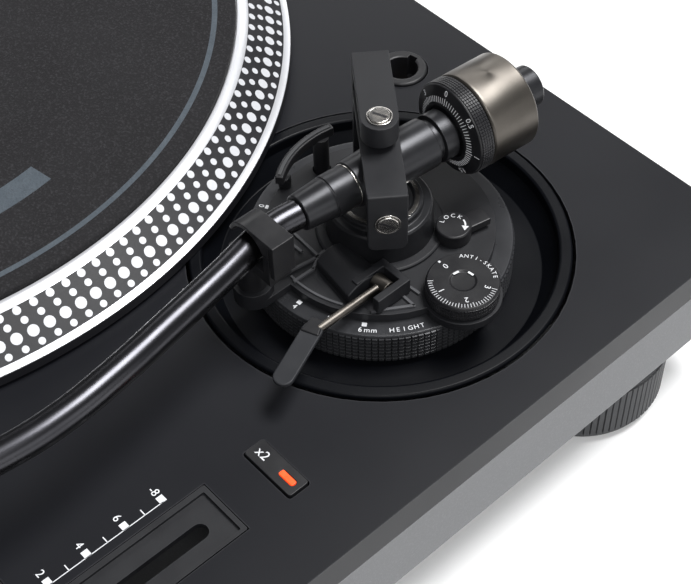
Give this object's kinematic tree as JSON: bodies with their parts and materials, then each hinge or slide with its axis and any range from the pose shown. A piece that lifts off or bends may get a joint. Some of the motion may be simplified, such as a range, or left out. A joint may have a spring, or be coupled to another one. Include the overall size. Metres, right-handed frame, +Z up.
{
  "type": "turntable record player",
  "caption": "Direct-drive record player with a strobe-dotted platter, an S-shaped tonearm on a height-adjustable base, a pitch slider and levelling feet.",
  "frame": {"origin": "middle of the bounding box, on the ground under the feet", "axes": "+X to the right of the player seen from its front, +Y to its back, +Z up"},
  "size_m": [0.453, 0.353, 0.1239],
  "materials": {
    "deck_paint": "matt dark charcoal paint",
    "case_grey": "fine-grained grey moulding",
    "black_plastic": "satin black",
    "black_metal": "satin black",
    "dark_chrome": "polished dark chrome",
    "gun_metal": "turned gun metal",
    "steel": "bright nickel",
    "aluminium": "cast, rim polished",
    "rubber": "ribbed matt",
    "felt": "charcoal felt",
    "copper": "wound coils",
    "board": "circuit board",
    "magnet": "sintered",
    "brass": "turned",
    "lamp_red": "red lens",
    "lamp_orange": "orange lit lens"
  },
  "bodies": {
    "chassis": {"deck_chassis": "deck_paint", "bottom_case": "case_grey", "bearing_housing": "aluminium", "motor_stator": "copper", "main_board": "board", "power_supply": "black_metal", "terminal_plate": "black_metal", "phono_jack_left": "brass", "phono_jack_right": "brass", "ground_terminal": "steel", "mains_inlet": "black_plastic", "pitch_scale_panel": "deck_paint", "headshell_socket": "black_plastic", "strobe_tower": "black_metal", "strobe_lens": "lamp_red", "tonearm_well": "deck_paint", "arm_pillar": "aluminium"},
    "platter": {"platter": "aluminium", "platter_mat": "felt", "rotor_magnet": "magnet", "spindle": "steel"},
    "height_ring": {"height_ring": "black_metal"},
    "arm_base": {"arm_base_plate": "black_metal", "arm_turret": "black_metal", "gimbal_yoke": "black_metal", "top_pivot_screw": "steel", "cue_housing": "black_plastic", "arm_rest": "black_plastic"},
    "gimbal": {"gimbal_frame": "black_metal", "side_pivot_screw_right": "steel", "side_pivot_screw_left": "steel"},
    "tonearm": {"arm_tube": "dark_chrome", "front_sleeve": "black_metal", "arm_hub": "black_metal", "rear_shaft": "black_metal", "headshell": "black_metal", "cartridge": "black_plastic", "stylus": "black_plastic"},
    "locking_collar": {"locking_collar": "dark_chrome"},
    "weight_bush": {"weight_bush": "brass"},
    "counterweight": {"counterweight": "gun_metal"},
    "force_dial": {"force_dial": "black_plastic"},
    "cue_lever": {"cue_lever": "black_plastic"},
    "cue_lift_bar": {"cue_lift_bar": "black_plastic"},
    "anti_skate_knob": {"anti_skate_knob": "black_plastic"},
    "lock_lever": {"lock_lever": "black_plastic"},
    "arm_clip": {"arm_clip": "black_plastic"},
    "pitch_slider": {"pitch_slider": "black_plastic"},
    "start_stop_button": {"start_stop_button": "black_metal"},
    "speed_33_button": {"speed_33_button": "black_metal"},
    "speed_45_button": {"speed_45_button": "black_metal"},
    "reset_button": {"reset_button": "black_plastic"},
    "x2_button": {"x2_button": "black_plastic", "x2_lamp": "lamp_orange"},
    "power_knob": {"power_knob": "black_metal"},
    "target_lamp": {"target_lamp": "black_metal"},
    "foot_front_left": {"foot_front_left": "rubber"},
    "foot_front_right": {"foot_front_right": "rubber"},
    "foot_back_left": {"foot_back_left": "rubber"},
    "foot_back_right": {"foot_back_right": "rubber"}
  },
  "joints": [
    {"name": "platter_spin", "type": "hinge", "parent": "chassis", "child": "platter", "pos_m": [-0.0462, -0.0012, 0.076], "axis": [0, 0, -1], "continuous": true},
    {"name": "height_ring_turn", "type": "hinge", "parent": "chassis", "child": "height_ring", "pos_m": [0.1505, 0.0855, 0.068], "axis": [0, 0, -1], "range_deg": [0, 100]},
    {"name": "arm_height", "type": "slide", "parent": "chassis", "child": "arm_base", "axis": [0, 0, 1], "range_m": [0, 0.006]},
    {"name": "tonearm_swing", "type": "hinge", "parent": "arm_base", "child": "gimbal", "pos_m": [0.1505, 0.0855, 0.102], "axis": [0, 0, -1], "range_deg": [0, 48]},
    {"name": "tonearm_lift", "type": "hinge", "parent": "gimbal", "child": "tonearm", "pos_m": [0.1505, 0.0855, 0.102], "axis": [-0.7986, 0.6018, 0], "range_deg": [0, 1.8]},
    {"name": "locking_collar_turn", "type": "hinge", "parent": "tonearm", "child": "locking_collar", "pos_m": [0.14785, -0.09097, 0.102], "axis": [-0.4563, -0.8898, 0], "range_deg": [0, 45]},
    {"name": "weight_travel", "type": "slide", "parent": "tonearm", "child": "weight_bush", "axis": [0.0898, 0.996, 0], "range_m": [-0.00127, 0.0057]},
    {"name": "weight_turn", "type": "hinge", "parent": "weight_bush", "child": "counterweight", "pos_m": [0.15409, 0.12534, 0.102], "axis": [0.0898, 0.996, 0], "range_deg": [-240, 1080]},
    {"name": "force_dial_turn", "type": "hinge", "parent": "counterweight", "child": "force_dial", "pos_m": [0.1531, 0.11438, 0.102], "axis": [0.0898, 0.996, 0], "continuous": true},
    {"name": "cue_lever_lift", "type": "hinge", "parent": "arm_base", "child": "cue_lever", "pos_m": [0.1709, 0.0675, 0.0802], "axis": [-1, 0, 0], "range_deg": [0, 35]},
    {"name": "cue_bar_rise", "type": "slide", "parent": "arm_base", "child": "cue_lift_bar", "axis": [0, 0, 1], "range_m": [0, 0.0024]},
    {"name": "anti_skate_turn", "type": "hinge", "parent": "arm_base", "child": "anti_skate_knob", "pos_m": [0.1877, 0.0847, 0.08], "axis": [0, 0, -1], "range_deg": [0, 200]},
    {"name": "lock_turn", "type": "hinge", "parent": "arm_base", "child": "lock_lever", "pos_m": [0.1691, 0.0991, 0.079], "axis": [0, 0, -1], "range_deg": [0, 60]},
    {"name": "arm_clip_open", "type": "hinge", "parent": "arm_base", "child": "arm_clip", "pos_m": [0.1589, 0.04, 0.098], "axis": [0, 1, 0], "range_deg": [0, 50]},
    {"name": "pitch_slide", "type": "slide", "parent": "chassis", "child": "pitch_slider", "axis": [0, -1, 0], "range_m": [-0.05, 0.05]},
    {"name": "start_stop_button_press", "type": "slide", "parent": "chassis", "child": "start_stop_button", "axis": [0, 0, -1], "range_m": [0, 0.0015], "stiffness_N_per_m": 500, "springref_m": -0.002},
    {"name": "speed_33_button_press", "type": "slide", "parent": "chassis", "child": "speed_33_button", "axis": [0, 0, -1], "range_m": [0, 0.001], "stiffness_N_per_m": 500, "springref_m": -0.002},
    {"name": "speed_45_button_press", "type": "slide", "parent": "chassis", "child": "speed_45_button", "axis": [0, 0, -1], "range_m": [0, 0.001], "stiffness_N_per_m": 500, "springref_m": -0.002},
    {"name": "reset_button_press", "type": "slide", "parent": "chassis", "child": "reset_button", "axis": [0, 0, -1], "range_m": [0, 0.0006], "stiffness_N_per_m": 500, "springref_m": -0.002},
    {"name": "x2_button_press", "type": "slide", "parent": "chassis", "child": "x2_button", "axis": [0, 0, -1], "range_m": [0, 0.0006], "stiffness_N_per_m": 500, "springref_m": -0.002},
    {"name": "power_knob_turn", "type": "hinge", "parent": "chassis", "child": "power_knob", "pos_m": [-0.1982, -0.1112, 0.093], "axis": [0, 0, -1], "range_deg": [0, 40]},
    {"name": "target_lamp_rise", "type": "slide", "parent": "chassis", "child": "target_lamp", "axis": [0, 0, 1], "range_m": [0, 0.012]},
    {"name": "foot_front_left_turn", "type": "hinge", "parent": "chassis", "child": "foot_front_left", "pos_m": [-0.196, -0.1355, 0.018], "axis": [0, 0, 1], "range_deg": [-180, 180]},
    {"name": "foot_front_right_turn", "type": "hinge", "parent": "chassis", "child": "foot_front_right", "pos_m": [0.196, -0.1355, 0.018], "axis": [0, 0, 1], "range_deg": [-180, 180]},
    {"name": "foot_back_left_turn", "type": "hinge", "parent": "chassis", "child": "foot_back_left", "pos_m": [-0.196, 0.1355, 0.018], "axis": [0, 0, 1], "range_deg": [-180, 180]},
    {"name": "foot_back_right_turn", "type": "hinge", "parent": "chassis", "child": "foot_back_right", "pos_m": [0.196, 0.1355, 0.018], "axis": [0, 0, 1], "range_deg": [-180, 180]}
  ],
  "couplings": [
    {"joint": "height_ring_turn", "follows": "arm_height", "rad_per_m": 290.89},
    {"joint": "weight_turn", "follows": "weight_travel", "rad_per_m": 3306.9},
    {"joint": "cue_lever_lift", "follows": "cue_bar_rise", "rad_per_m": 254.53}
  ]
}
